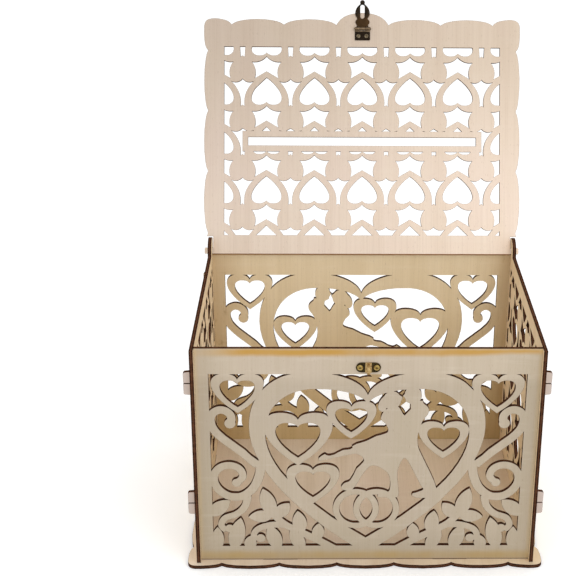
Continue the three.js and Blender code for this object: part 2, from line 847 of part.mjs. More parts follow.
// The leaf screwed under the lid, with the two outer knuckles.
function haspLeaf() {
  const low = LEAF_LOW;
  const high = LEAF_LOW + LEAF_THICK;
  const notch = KNUCKLE_X + 0.25;
  const back = BARREL_U - BARREL_R - 0.4;
  const r = 1;
  const shape = new THREE.Shape();
  shape.moveTo(-LEAF_X + r, LEAF_START);
  shape.lineTo(LEAF_X - r, LEAF_START);
  shape.quadraticCurveTo(LEAF_X, LEAF_START, LEAF_X, LEAF_START + r);
  shape.lineTo(LEAF_X, BARREL_U);
  shape.lineTo(notch, BARREL_U);
  shape.lineTo(notch, back);
  shape.lineTo(-notch, back);
  shape.lineTo(-notch, BARREL_U);
  shape.lineTo(-LEAF_X, BARREL_U);
  shape.lineTo(-LEAF_X, LEAF_START + r);
  shape.quadraticCurveTo(-LEAF_X, LEAF_START, -LEAF_X + r, LEAF_START);
  let solid = plate(shape, low, high, 3, FINE);
  for (const s of [-1, 1]) {
    const a = s > 0 ? notch : -LEAF_X;
    const b = s > 0 ? LEAF_X : -notch;
    solid = solid.add(barX(a, b, BARREL_U, BARREL_W, BARREL_R));
    solid = solid.subtract(cutter(disc(s * SCREW_X, SCREW_U, SCREW_HOLE_R), 5, FINE));
  }
  return solid.subtract(barX(-LEAF_X - 1, LEAF_X + 1, BARREL_U, BARREL_W, HASP_PIN_R + 0.1, 10));
}

// The swinging arm: knuckle, waisted plate with a long slot, round knob at the tip.
function haspArm() {
  const low = LEAF_LOW;
  const high = LEAF_LOW + ARM_THICK;
  const halves = [
    [5.3, 2.1],
    [5.3, 3.4],
    [6.7, 5.4],
    [6.7, 7.8],
    [5.1, 9.9],
    [6.6, 12.6],
    [7.2, 15.6],
    [6.3, 19.4],
    [4.2, 22.4],
    [2.1, 24.4],
    [1.9, 26],
    [1.3, 27.2],
  ];
  const right = halves.map(([x, v]) => [x, BARREL_U + v]);
  const left = right.map(([x, u]) => [-x, u]).reverse();
  let solid = plate(outline([...right, [0, BARREL_U + 27.8], ...left], 100), low, high, 1, FINE * 2);
  solid = solid.add(plate(rectangle(-KNUCKLE_X + 0.2, BARREL_U, KNUCKLE_X - 0.2, BARREL_U + 4), low, high));
  solid = solid.add(barX(-KNUCKLE_X, KNUCKLE_X, BARREL_U, BARREL_W, BARREL_R));
  const knob = new THREE.SphereGeometry(KNOB_R, 16, 10);
  knob.translate(0, BARREL_U + KNOB_V, (low + high) / 2);
  solid = solid.add(solidOf(knob));
  const r = ARM_SLOT_W / 2;
  const slot = new THREE.Shape();
  slot.absarc(0, BARREL_U + ARM_SLOT[0] + r, r, Math.PI, 2 * Math.PI, false);
  slot.absarc(0, BARREL_U + ARM_SLOT[1] - r, r, 0, Math.PI, false);
  solid = solid.subtract(cutter(slot, 4, FINE));
  return solid.subtract(barX(-KNUCKLE_X - 1, KNUCKLE_X + 1, BARREL_U, BARREL_W, HASP_PIN_R + 0.1, 10));
}

function haspPin() {
  const end = LEAF_X + 0.2;
  const rod = barX(-end, end, BARREL_U, BARREL_W, HASP_PIN_R, 10);
  const heads = [-1, 1].map((s) => {
    const a = s * end;
    const b = s * (end + 0.5);
    return barX(Math.min(a, b), Math.max(a, b), BARREL_U, BARREL_W, HASP_PIN_R + 0.35, 10);
  });
  return joined([rod, ...heads]);
}

// The staple on the front panel: a round-ended plate with a raised boss and an eye standing out of it.
// Local x is X, local y is up from the plate's centre, local z points away from the panel.
function staple() {
  const r = STAPLE_HALF_Z;
  const straight = STAPLE_HALF_X - r;
  const shape = new THREE.Shape();
  shape.absarc(-straight, 0, r, Math.PI / 2, (3 * Math.PI) / 2, false);
  shape.absarc(straight, 0, r, -Math.PI / 2, Math.PI / 2, false);
  let solid = plate(shape, 0, STAPLE_THICK, 5, FINE);
  for (const s of [-1, 1]) {
    solid = solid.subtract(cutter(disc(s * STAPLE_SCREW_X, 0, SCREW_HOLE_R), 5, FINE));
  }
  const boss = rectangle(-BOSS_HALF_X, -BOSS_HALF_Z, BOSS_HALF_X, BOSS_HALF_Z);
  solid = solid.add(plate(boss, 0, STAPLE_THICK + BOSS_RISE));
  const reach = STAPLE_REACH;
  const eye = new THREE.Shape();
  eye.moveTo(-4, 0);
  eye.lineTo(4, 0);
  eye.lineTo(4, reach - 4);
  eye.absarc(0, reach - 4, 4, 0, Math.PI, false);
  const bore = new THREE.Path();
  bore.absarc(0, reach - 4, 2.3, 0, 2 * Math.PI, true);
  eye.holes.push(bore);
  const geometry = new THREE.ExtrudeGeometry(eye, { depth: 2.6, bevelEnabled: false, curveSegments: 6 });
  // the eye is drawn in the plane across the plate: turn it to stand out of the plate, upright
  geometry.translate(0, 0, -1.3);
  geometry.rotateX(Math.PI / 2);
  geometry.rotateZ(Math.PI / 2);
  return solid.add(solidOf(geometry));
}

// A round-head screw standing on local z = 0, its cross recess on top.
function screw(headR) {
  const profile = [
    [0, -2.6],
    [SCREW_SHANK_R * 0.5, -2.4],
    [SCREW_SHANK_R, -1.8],
    [SCREW_SHANK_R, 0],
    [headR, 0],
    [headR, 0.25],
    [headR * 0.86, 0.75],
    [headR * 0.5, 1.05],
    [0, 1.15],
  ];
  const geometry = new THREE.LatheGeometry(profile.map(([r, z]) => new THREE.Vector2(r, z)), 12);
  geometry.rotateX(Math.PI / 2);
  let solid = solidOf(geometry);
  const long = headR * 0.62;
  const thin = 0.26;
  solid = solid.subtract(plate(rectangle(-long, -thin, long, thin), 0.55, 3));
  return solid.subtract(plate(rectangle(-thin, -long, thin, long), 0.55, 3));
}

// ---------------------------------------------------------------- placing
const box = new THREE.Group();
box.name = "wedding_card_box";

function node(name, solid, material, matrix) {
  const geometry = geometryOf(solid);
  geometry.applyMatrix4(matrix);
  geometry.computeVertexNormals();
  const mesh = new THREE.Mesh(geometry, material);
  mesh.name = name;
  box.add(mesh);
}

// A frame from where it stands and where its three local axes point.
function frame(origin, x, y, z) {
  const v = (a) => new THREE.Vector3(...a);
  return new THREE.Matrix4().makeBasis(v(x), v(y), v(z)).setPosition(...origin);
}

const X = [1, 0, 0];
const Z = [0, 0, 1];
const ground = frame([0, 0, 0], X, [0, 1, 0], Z);
const frontFrame = frame([0, -PANEL_Y + PLY, 0], X, Z, [0, -1, 0]);
const backFrame = frame([0, PANEL_Y - PLY, 0], [-1, 0, 0], Z, [0, 1, 0]);
const rightFrame = frame([INNER_X, 0, 0], [0, 1, 0], Z, X);
const leftFrame = frame([-INNER_X, 0, 0], [0, -1, 0], Z, [-1, 0, 0]);

const open = THREE.MathUtils.degToRad(OPEN_DEG);
const along = [0, -Math.cos(open), Math.sin(open)];
const inward = [0, -Math.sin(open), -Math.cos(open)];
const lidFrame = frame([0, HINGE_Y, HINGE_Z], X, along, inward);

const woodPale = plyFace("birch_pale", 0xdcc6a6);
const woodWarm = plyFace("birch_warm", 0xd2bb92);
const antique = bronze("antique_bronze", 0x5a4a2c);
const olive = bronze("olive_brass", 0x7a6a3a);

node("base_plate", basePlate(), woodPale, ground);
node("front_panel", panel(FRONT_TOP), woodPale, frontFrame);
node("back_panel", panel(BACK_TOP), woodWarm, backFrame);
node("right_side_panel", sidePanel(1), woodWarm, rightFrame);
node("left_side_panel", sidePanel(-1), woodWarm, leftFrame);
node("lid_panel", lidPanel(), woodPale, lidFrame);
node("hasp_leaf", haspLeaf(), antique, lidFrame);
node("hasp_pin", haspPin(), antique, lidFrame);
node("hasp_arm", haspArm(), antique, lidFrame);

const stapleFrame = frame([0, -PANEL_Y, STAPLE_Z], X, Z, [0, -1, 0]);
node("hasp_staple", staple(), olive, stapleFrame);

const sides = [
  ["left", -1],
  ["right", 1],
];
for (const [word, s] of sides) {
  const seatU = LEAF_LOW + LEAF_THICK + 0.1;
  const leafPlace = new THREE.Matrix4().makeTranslation(s * SCREW_X, SCREW_U, seatU);
  const leafSeat = lidFrame.clone().multiply(leafPlace);
  node("leaf_screw_" + word, screw(LEAF_SCREW_R), antique, leafSeat);
  const out = STAPLE_THICK + 0.1;
  const staplePlace = new THREE.Matrix4().makeTranslation(s * STAPLE_SCREW_X, 0, out);
  const stapleSeat = stapleFrame.clone().multiply(staplePlace);
  node("staple_screw_" + word, screw(STAPLE_SCREW_R), olive, stapleSeat);
}

export default box;
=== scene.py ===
"""Wedding card box: laser-cut birch panels, a scalloped lid standing open, and a small antique hasp.

The flat panels take their outlines from the CAD nodes, which give them as straight chords. Each outline
is rounded back into smooth curves and raised again as a 3.5 mm sheet with slightly broken, scorched edges.
Metres, +X right, +Y back, +Z up.
"""

import json
import math

import bmesh
import bpy
import numpy as np
from mathutils import Matrix, Vector
from mathutils.geometry import delaunay_2d_cdt


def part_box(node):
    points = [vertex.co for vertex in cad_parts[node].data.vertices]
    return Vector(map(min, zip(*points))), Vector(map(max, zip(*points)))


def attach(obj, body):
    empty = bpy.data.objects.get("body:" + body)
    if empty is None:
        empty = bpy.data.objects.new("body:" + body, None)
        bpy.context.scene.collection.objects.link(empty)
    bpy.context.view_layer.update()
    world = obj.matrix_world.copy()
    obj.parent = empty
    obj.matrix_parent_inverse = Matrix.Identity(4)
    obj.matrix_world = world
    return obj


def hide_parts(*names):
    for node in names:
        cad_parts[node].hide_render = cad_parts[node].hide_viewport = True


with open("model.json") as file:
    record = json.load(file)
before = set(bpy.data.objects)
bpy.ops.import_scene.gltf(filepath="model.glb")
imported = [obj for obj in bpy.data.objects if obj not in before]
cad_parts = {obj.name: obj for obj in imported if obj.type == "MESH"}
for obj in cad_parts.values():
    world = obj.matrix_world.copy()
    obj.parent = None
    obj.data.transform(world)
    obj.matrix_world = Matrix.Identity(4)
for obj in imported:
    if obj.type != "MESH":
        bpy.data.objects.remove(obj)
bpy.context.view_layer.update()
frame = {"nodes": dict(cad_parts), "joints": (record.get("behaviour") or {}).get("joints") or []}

bpy.context.scene.view_settings.view_transform = "Standard"
MM = 0.001

# ---------------------------------------------------------------- where things are
HINGE = Vector(next(j["pos_m"] for j in frame["joints"] if j["name"] == "lid_hinge"))
OPEN = math.radians(112.9)  # the lid at rest, up from the front
ALONG = Vector((0, -math.cos(OPEN), math.sin(OPEN)))
INWARD = Vector((0, -math.sin(OPEN), -math.cos(OPEN)))
AXIS_X, AXIS_Y, AXIS_Z = Vector((1, 0, 0)), Vector((0, 1, 0)), Vector((0, 0, 1))
PLY = 3.5 * MM
EDGE_BREAK = 0.16 * MM  # the small bevel along every cut
FRONT_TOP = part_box("front_panel")[1].z
BACK_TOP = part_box("back_panel")[1].z
WALL_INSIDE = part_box("right_side_panel")[0].x


def placed(name, bm, materials, body, node):
    """A finished piece from bm, riding on its body in place of its CAD node."""
    mesh = bpy.data.meshes.new(name)
    bm.to_mesh(mesh)
    bm.free()
    for material in materials:
        mesh.materials.append(material)
    obj = bpy.data.objects.new(name, mesh)
    bpy.context.scene.collection.objects.link(obj)
    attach(obj, body)
    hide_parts(node)
    return obj


# ---------------------------------------------------------------- outlines from the CAD nodes
CORNER = math.radians(44)  # a sharper turn is a corner
SHALLOW = math.radians(12)  # and so is this one, beside a straight chord
STRAIGHT = 30 * MM  # a longer chord stays straight
MOST_BULGE = 0.6 * MM  # of a curve from its chord
TURN_STEP = math.radians(8)  # between two points of a curve
ON_LINE = 0.01 * MM
HOLE_SIZE = 8 * MM  # a smaller hole is a fitting, not part of the drawing
SLOT_POINTS = 4
WELD = 1e-6
FACING = 0.999
SAME_LEVEL = 2e-5
SHARPEST_INSET = 0.45  # keeps the inset of a sharp notch short
TINY = 1e-12


def flat_loops(node, origin, x, y, face):
    """The edge loops of a node's outermost flat face that looks along face, as 2-D points on axes x and y."""
    bm = bmesh.new()
    bm.from_mesh(frame["nodes"][node].data)
    bmesh.ops.remove_doubles(bm, verts=bm.verts, dist=WELD)
    flat = [f for f in bm.faces if f.normal.dot(face) > FACING]
    level = max(f.calc_center_median().dot(face) for f in flat)
    flat = {f for f in flat if abs(f.calc_center_median().dot(face) - level) < SAME_LEVEL}
    after = {}
    for f in flat:
        for loop in f.loops:
            if not any(g is not f and g in flat for g in loop.edge.link_faces):
                after[loop.vert.index] = loop.link_loop_next.vert.index
    place = {v.index: (v.co - origin) for v in bm.verts}
    loops = []
    while after:
        first = next(iter(after))
        chain = [first]
        here = after.pop(first)
        while here != first:
            chain.append(here)
            here = after.pop(here)
        loops.append(np.array([(place[i].dot(x), place[i].dot(y)) for i in chain]))
    bm.free()
    return loops


def area(points):
    x, y = points[:, 0], points[:, 1]
    return 0.5 * float(np.sum(x * np.roll(y, -1) - np.roll(x, -1) * y))


def unit(vectors):
    return vectors / (np.linalg.norm(vectors, axis=1)[:, None] + TINY)


def window_lines(loops):
    """The straight lines, as (axis, value), that bound all the pierced holes together."""
    holes = [p for p in loops if len(p) > SLOT_POINTS and np.ptp(p, axis=0).max() > HOLE_SIZE]
    outer = max(holes, key=lambda p: abs(area(p)))
    holes = [p for p in holes if p is not outer]
    if not holes:
        return []
    low = np.min([p.min(0) for p in holes], axis=0)
    high = np.max([p.max(0) for p in holes], axis=0)
    return [(0, low[0]), (0, high[0]), (1, low[1]), (1, high[1])]


def leans(i, j, heading, tangent, corner, straight):
    """How far the curve's two ends turn from the chord between points i and j. An end at a corner mirrors
    the other end."""
    if straight[i] or (corner[i] and corner[j]):
        return 0, 0
    d = heading[i]
    side = np.array((-d[1], d[0]))
    first, last = (math.atan2(tangent[k] @ side, tangent[k] @ d) for k in (i, j))
    if corner[i]:
        return -last, last
    if corner[j]:
        return first, -first
    return first, last


def along_curve(t, a, b, start, end, reach):
    """The cubic from a to b that leaves towards start and arrives along end, at t from 0 to 1."""
    return ((2 * t**3 - 3 * t**2 + 1) * a + (t**3 - 2 * t**2 + t) * reach * start
            + (3 * t**2 - 2 * t**3) * b + (t**3 - t**2) * reach * end)


def rounded(points, lines, rigid):
    """One closed outline with its chords bowed into curves, and a flag for each point that is a corner.
    Chords on a window line, very long chords and points where rigid says so stay straight."""
    following = np.roll(points, -1, 0)
    ahead = following - points
    length = np.linalg.norm(ahead, axis=1)
    heading = ahead / length[:, None]
    angle = np.arctan2(heading[:, 1], heading[:, 0])
    turn = np.abs((angle - np.roll(angle, 1) + math.pi) % (2 * math.pi) - math.pi)
    straight = length > STRAIGHT
    for axis, value in lines:
        on = np.abs(points[:, axis] - value) < ON_LINE
        straight |= on & (np.abs(following[:, axis] - value) < ON_LINE)
    beside = straight | np.roll(straight, 1)
    corner = (turn > CORNER) | (beside & (turn > SHALLOW)) | np.array([rigid(p) for p in points])

    back, back_length = np.roll(heading, 1, 0), np.roll(length, 1)
    tangent = unit(back * length[:, None] + heading * back_length[:, None])
    tangent[straight] = heading[straight]
    after = np.roll(straight, 1)
    tangent[after] = back[after]

    out, flags = [], []
    for i, (here, there) in enumerate(zip(points, following)):
        d, reach = heading[i], length[i]
        side = np.array((-d[1], d[0]))
        first, last = leans(i, (i + 1) % len(points), heading, tangent, corner, straight)
        bow = abs(math.tan(first) - math.tan(last)) * reach / 8
        ease = min(1, MOST_BULGE / bow) if bow > 0 else 1
        first, last = first * ease, last * ease
        start = d * math.cos(first) + side * math.sin(first)
        end = d * math.cos(last) + side * math.sin(last)
        steps = max(1, math.ceil(abs(first - last) / TURN_STEP))
        for k in range(steps):
            out.append(along_curve(k / steps, here, there, start, end, reach))
            flags.append(bool(corner[i]) and k == 0)
    return np.clip(np.array(out), points.min(0), points.max(0)), flags


def inset(points, distance):
    """The closed outline moved sideways by distance, to the left of its direction."""
    ahead = unit(np.roll(points, -1, 0) - points)
    back = np.roll(ahead, 1, 0)
    n0 = np.stack((-back[:, 1], back[:, 0]), 1)
    n1 = np.stack((-ahead[:, 1], ahead[:, 0]), 1)
    mean = unit(n0 + n1)
    open_up = np.clip(np.einsum("ij,ij->i", mean, n1), SHARPEST_INSET, 1)
    return points + mean * (distance / open_up)[:, None]


def inside(points, loops):
    """Even-odd test of many points against all loops at once."""
    hit = np.zeros(len(points), bool)
    x, y = points[:, 0], points[:, 1]
    for loop in loops:
        nxt = np.roll(loop, -1, 0)
        for (x0, y0), (x1, y1) in zip(loop, nxt):
            if y0 == y1:
                continue
            crosses = (y0 > y) != (y1 > y)
            hit ^= crosses & (x < (x1 - x0) * (y - y0) / (y1 - y0) + x0)
    return hit


# ---------------------------------------------------------------- a sheet of plywood
WALL_ROWS = (0.0, 0.24, 0.76, 1.0)  # shares of the thickness between the broken edges
EASE_REACH = 0.7 * MM  # around a crossing
EASE_TRIES = 8
CDT_EPSILON = 1e-9


def cap_triangles(walls, caps):
    """Triangles between the cap outlines, eased towards the walls where two lines cross in a sharp notch.
    Returns the points, the triangles, and where each outline point is among the points."""
    edges = []
    start = 0
    for p in caps:
        n = len(p)
        edges += [(start + i, start + (i + 1) % n) for i in range(n)]
        start += n
    for _ in range(EASE_TRIES):
        flat = [Vector(p) for p in np.concatenate(caps)]
        points, _, faces, origins, _, _ = delaunay_2d_cdt(flat, edges, [], 0, CDT_EPSILON, True)
        crossings = [np.array(p) for p, old in zip(points, origins) if not old]
        if not crossings:
            break
        for crossing in crossings:
            for wall, cap in zip(walls, caps):
                near = np.linalg.norm(cap - crossing, axis=1) < EASE_REACH
                cap[near] = (cap[near] + wall[near]) / 2
    centres = np.array([np.mean([points[i] for i in f], axis=0) for f in faces])
    faces = [f for f, keep in zip(faces, inside(centres, caps)) if keep]
    where = {k: i for i, old in enumerate(origins) for k in old}
    return points, faces, where


def add_walls(bm, rows, corners):
    """Smooth quads between closed rows of vertices, with a crease across the rows at each corner."""
    count = len(corners)
    for lower, upper in zip(rows, rows[1:]):
        for i in range(count):
            j = (i + 1) % count
            f = bm.faces.new((lower[i], lower[j], upper[j], upper[i]))
            f.material_index = 1
            f.smooth = True
    for i, sharp in enumerate(corners):
        if sharp:
            for lower, upper in zip(rows, rows[1:]):
                bm.edges.get((lower[i], upper[i])).smooth = False


def sheet(name, node, origin, x, y, face_material, edge_material, body, face_side, rigid):
    """Raises a CAD panel again as a smooth sheet, from origin to PLY along x cross y. face_side picks
    the flat face, top (1) or bottom (-1), whose outlines are read."""
    z = x.cross(y)
    raw = flat_loops(node, origin, x, y, z * face_side)
    if face_side < 0:
        raw = [p[::-1] for p in raw]
    lines = window_lines(raw)
    outlines = [rounded(p, lines, rigid) for p in raw]
    walls = [p for p, _ in outlines]
    points, faces, where = cap_triangles(walls, [inset(p, EDGE_BREAK) for p in walls])

    bm = bmesh.new()
    uv = bm.loops.layers.uv.new("grain")

    def put(p, h):
        return bm.verts.new(origin + x * p[0] + y * p[1] + z * h)

    top = [put(p, PLY) for p in points]
    bottom = [put(p, 0) for p in points]
    for f in faces:
        bm.faces.new([top[i] for i in f])
        bm.faces.new([bottom[i] for i in reversed(f)])
    heights = [EDGE_BREAK + share * (PLY - 2 * EDGE_BREAK) for share in WALL_ROWS]
    start = 0
    for p, corners in outlines:
        ends = [where[start + i] for i in range(len(p))]
        rows = [[bottom[i] for i in ends]]
        rows += [[put(q, h) for q in p] for h in heights]
        rows.append([top[i] for i in ends])
        add_walls(bm, rows, corners)
        start += len(p)
    for f in bm.faces:
        for loop in f.loops:
            v = loop.vert.co - origin
            loop[uv].uv = (v.dot(x), v.dot(y))
    for e in bm.edges:
        if len({f.material_index for f in e.link_faces}) == 2:
            e.smooth = False
    loose = [v for v in bm.verts if not v.link_faces]
    bmesh.ops.delete(bm, geom=loose, context="VERTS")
    bmesh.ops.recalc_face_normals(bm, faces=bm.faces)
    return placed(name, bm, (face_material, edge_material), body, node)


# ---------------------------------------------------------------- node materials
class Nodes:
    """Short names for building a node material."""

    def __init__(self, name):
        self.material = bpy.data.materials.new(name)
        self.material.use_nodes = True
        self.tree = self.material.node_tree
        self.tree.nodes.clear()
        self.out = self.tree.nodes.new("ShaderNodeOutputMaterial")

    def feed(self, node, key, value):
        """Links value to the node's input if it is a socket, and otherwise sets it there."""
        if isinstance(value, bpy.types.NodeSocket):
            self.tree.links.new(value, node.inputs[key])
        else:
            node.inputs[key].default_value = value

    def add(self, kind, inputs=None, **settings):
        node = self.tree.nodes.new("ShaderNode" + kind)
        for key, value in settings.items():
            setattr(node, key, value)
        for key, value in (inputs or {}).items():
            self.feed(node, key, value)
        return node

    def math(self, operation, a, b=0.0):
        return self.add("Math", {0: a, 1: b}, operation=operation).outputs[0]

    def band(self, value, low, high, out_low=0.0, out_high=1.0):
        node = self.add("MapRange", {0: value, 1: low, 2: high, 3: out_low, 4: out_high})
        node.interpolation_type = "SMOOTHSTEP"
        return node.outputs[0]

    def mix(self, factor, a, b, blend="MIX"):
        node = self.add("Mix", data_type="RGBA", blend_type=blend)
        for key, value in ((0, factor), (6, a), (7, b)):
            self.feed(node, key, value)
        return node.outputs[2]

    def tinted(self, colour, share, tint):
        """colour multiplied by tint where share is 1 and left alone where it is 0."""
        return self.mix(1.0, colour, self.mix(share, (1.0, 1.0, 1.0, 1.0), tint), "MULTIPLY")

    def noise(self, vector, scale, detail=3.0, rough=0.55, distortion=0.0):
        sizes = {"Scale": scale, "Detail": detail, "Roughness": rough, "Distortion": distortion}
        return self.add("TexNoise", {"Vector": vector, **sizes}).outputs["Fac"]

    def scaled(self, vector, scale, shift=(0, 0, 0)):
        node = self.add("Mapping", {"Vector": vector, "Scale": scale, "Location": shift})
        return node.outputs[0]

    def finish(self, colour, roughness, bump=None, strength=0.1, distance=0.0002, **more):
        shader = self.add("BsdfPrincipled", {"Base Color": colour, "Roughness": roughness})
        for key, value in more.items():
            shader.inputs[key.replace("_", " ")].default_value = value
        if bump is not None:
            relief = self.add("Bump", {"Height": bump, "Strength": strength, "Distance": distance})
            self.feed(shader, "Normal", relief.outputs[0])
        self.tree.links.new(shader.outputs[0], self.out.inputs["Surface"])
        return self.material


def rgb(r, g, b):
    """Display colour, 0 to 255, as the linear colour a shader wants."""
    def linear(v):
        v /= 255
        return v / 12.92 if v <= 0.04045 else ((v + 0.055) / 1.055) ** 2.4
    return (linear(r), linear(g), linear(b), 1.0)


def veneer(name, light, dark, blush, seed, extra=None):
    """Rotary-cut birch veneer. The grain runs along v of the grain map; extra adds stains, tints and painted
    shade.
    """
    n = Nodes(name)
    uv = n.add("UVMap", uv_map="grain").outputs[0]
    place = n.scaled(uv, (1, 1, 1), (seed * 0.37, seed * 0.71, seed))
    wide = n.noise(n.scaled(place, (46, 1.3, 1)), 1.0, 4.0, 0.6, 0.4)
    fine = n.noise(n.scaled(place, (700, 9, 1)), 1.0, 3.0, 0.6)
    fibre = n.noise(n.scaled(place, (2600, 60, 1)), 1.0, 2.0, 0.5)
    cloud = n.noise(n.scaled(place, (11, 6, 1)), 1.0, 4.0, 0.65)
    fleck = n.noise(n.scaled(place, (1500, 240, 1)), 1.0, 1.0, 0.5)
    wave = n.noise(n.scaled(place, (20, 150, 1)), 1.0, 3.0, 0.55, 0.6)

    colour = n.mix(n.band(wide, 0.3, 0.72), light, dark)
    colour = n.mix(n.math("MULTIPLY", n.band(cloud, 0.4, 0.7), 0.7), colour, blush)
    streak = n.math("MULTIPLY", n.band(fine, 0.4, 0.75), 0.22)
    colour = n.mix(streak, colour, n.mix(0.4, dark, rgb(150, 118, 84)))
    ripple = n.math("MULTIPLY", n.band(wave, 0.52, 0.7), 0.07)
    colour = n.mix(ripple, colour, rgb(250, 240, 226))
    pores = n.math("MULTIPLY", n.band(fleck, 0.66, 0.78), 0.3)
    colour = n.mix(pores, colour, rgb(128, 96, 66))
    if extra:
        colour = extra(n, uv, colour)
    rough = n.band(fine, 0.2, 0.8, 0.52, 0.68)
    bump = n.math("ADD", n.math("MULTIPLY", fibre, 0.5), n.math("MULTIPLY", fine, 0.5))
    return n.finish(colour, rough, bump, 0.25, 0.00012, Specular_IOR_Level=0.25)


DARK_CHAR, MID_CHAR, PALE_CHAR = rgb(48, 29, 21), rgb(84, 53, 38), rgb(110, 74, 53)
GLUE_LINE = 0.19  # from the sheet's middle, as a share of its thickness


def charred(name, axis, origin, extra=None):
    """Laser-cut edge: burnt plies, the glue lines darkest, with soot streaks through the thickness.
    The sheet's lower face lies at origin, and it is PLY thick along axis."""
    n = Nodes(name)
    coords = n.add("TexCoord").outputs["Object"]
    depth = n.add("VectorMath", {0: coords, 1: tuple(axis)}, operation="DOT_PRODUCT").outputs["Value"]
    low = origin.dot(axis)
    share = n.band(depth, low, low + PLY)
    share.node.interpolation_type = "LINEAR"
    soot = n.noise(coords, 900, 4.0, 0.6)
    streak = n.noise(coords, 260, 3.0, 0.6)
    off = n.math("ABSOLUTE", n.math("SUBTRACT", share, 0.5))
    from_glue = n.math("ABSOLUTE", n.math("SUBTRACT", off, GLUE_LINE))
    glue = n.math("SUBTRACT", 1.0, n.band(from_glue, 0.0, 0.07))
    colour = n.mix(n.band(streak, 0.35, 0.68), DARK_CHAR, MID_CHAR)
    colour = n.mix(n.math("MULTIPLY", n.band(off, 0.1, 0.17, 1.0, 0.0), 0.45), colour, PALE_CHAR)
    colour = n.mix(n.math("MULTIPLY", glue, 0.7), colour, rgb(26, 12, 8))
    colour = n.mix(n.math("MULTIPLY", n.band(soot, 0.5, 0.75), 0.5), colour, rgb(20, 11, 8))
    if extra:
        colour = extra(n, coords, colour)
    bump = n.math("ADD", soot, n.math("MULTIPLY", glue, -0.6))
    rough = n.band(soot, 0.3, 0.7, 0.7, 0.9)
    return n.finish(colour, rough, bump, 0.5, 0.00015, Specular_IOR_Level=0.0)


def metal(name, deep, body, worn, roughness, wear, extra=None):
    """Antiqued brass: dark lacquer that thins out in patches and shows worn metal in small spots."""
    n = Nodes(name)
    coords = n.add("TexCoord").outputs["Object"]
    patch = n.noise(coords, 380, 4.0, 0.65)
    grit = n.noise(coords, 3800, 3.0, 0.6)
    colour = n.mix(n.band(patch, 0.35, 0.68), deep, body)
    rub = n.math("MULTIPLY", n.band(grit, 0.56, 0.7), wear)
    colour = n.mix(n.math("MINIMUM", rub, 1.0), colour, worn)
    if extra:
        colour = extra(n, coords, colour)
    rough = n.band(grit, 0.3, 0.7, roughness - 0.08, roughness + 0.12)
    return n.finish(colour, rough, grit, 0.2, 0.00004, Metallic=0.9)


def front_shade_and_stains(n, uv, colour):
    """Painted shade and smoke stains of the front panel. u and v of the grain map are metres across and up.
    """
    split = n.add("SeparateXYZ", {0: uv})
    u, v = split.outputs[0], split.outputs[1]
    side = n.math("ABSOLUTE", u)
    wobble = n.noise(n.scaled(uv, (38, 9, 1)), 1.0, 3.0, 0.6)
    shifted = n.math("ADD", v, n.math("MULTIPLY", n.math("SUBTRACT", wobble, 0.5), 0.003))
    # painted shade: greyer below the top bar, and more so towards both ends and the foot
    colour = n.tinted(colour, n.band(v, 0.176, 0.194, 1.0, 0.0), rgb(242, 242, 241))
    painted_edge_shade = n.math("MAXIMUM", n.band(side, 0.105, 0.142), n.band(v, 0.012, 0.045, 1.0, 0.0))
    colour = n.tinted(colour, n.math("MULTIPLY", painted_edge_shade, 0.8), rgb(243, 243, 241))
    # a strong amber band under the top edge
    narrowed = n.math("SUBTRACT", shifted, n.band(u, 0.07, 0.13, 0.0, 0.0022))
    rise = n.band(narrowed, FRONT_TOP - 0.0092, FRONT_TOP - 0.0042)
    # the band fades again just under the top edge; the paler strip this leaves is a painted highlight along
    # the edge
    fall = n.band(shifted, FRONT_TOP - 0.0024, FRONT_TOP + 0.0004, 1.0, 0.4)
    patchy = n.band(n.noise(n.scaled(uv, (16, 2, 1)), 1.0, 2.0), 0.3, 0.6, 0.7, 1.0)
    ends = n.band(u, -0.146, -0.1, 0.2, 1.0)
    top = n.math("MULTIPLY", n.math("MULTIPLY", rise, fall), n.math("MULTIPLY", patchy, ends))
    colour = n.mix(n.math("MULTIPLY", top, 0.92), colour, rgb(188, 142, 56))
    # a faint one along the foot and a thin one down each end
    blotch = n.band(n.noise(n.scaled(uv, (22, 3, 1), (3, 1, 0)), 1.0, 2.0), 0.35, 0.65, 0.5, 1.0)
    upper, lower = n.band(shifted, 0.0085, 0.0155, 1.0, 0.0), n.band(shifted, 0.003, 0.0075, 0.45, 1.0)
    foot = n.math("MULTIPLY", upper, lower)
    colour = n.mix(n.math("MULTIPLY", n.math("MULTIPLY", foot, blotch), 0.7), colour, rgb(178, 148, 86))
    end = n.band(side, WALL_INSIDE - 0.0045, WALL_INSIDE - 0.0008, 0.0, 0.3)
    colour = n.mix(end, colour, rgb(210, 190, 146))
    # the tenons outside the walls are clean and greyer, and a dark brown line along the foot is the scorched
    # cut line and also painted shade where the front meets the base
    colour = n.mix(n.band(side, WALL_INSIDE + 0.0005, WALL_INSIDE + 0.002), colour, rgb(195, 181, 173))
    return n.mix(n.band(v, 0.0038, 0.0047, 0.85, 0.0), colour, rgb(92, 62, 44))


def base_right_tint(n, uv, colour):
    """The base is a little yellower to the right."""
    split = n.add("SeparateXYZ", {0: uv})
    return n.tinted(colour, n.band(split.outputs[0], -0.03, 0.12), rgb(255, 252, 242))


def lid_shading(n, uv, colour):
    """Painted shade, partly the veneer's own drift: the lid darkens towards its free end and its left side.
    """
    split = n.add("SeparateXYZ", {0: uv})
    colour = n.tinted(colour, n.band(split.outputs[0], -0.15, 0.15, 1.0, 0.0), rgb(235, 235, 236))
    return n.tinted(colour, n.band(split.outputs[1], 0.0, 0.23), rgb(220, 218, 214))


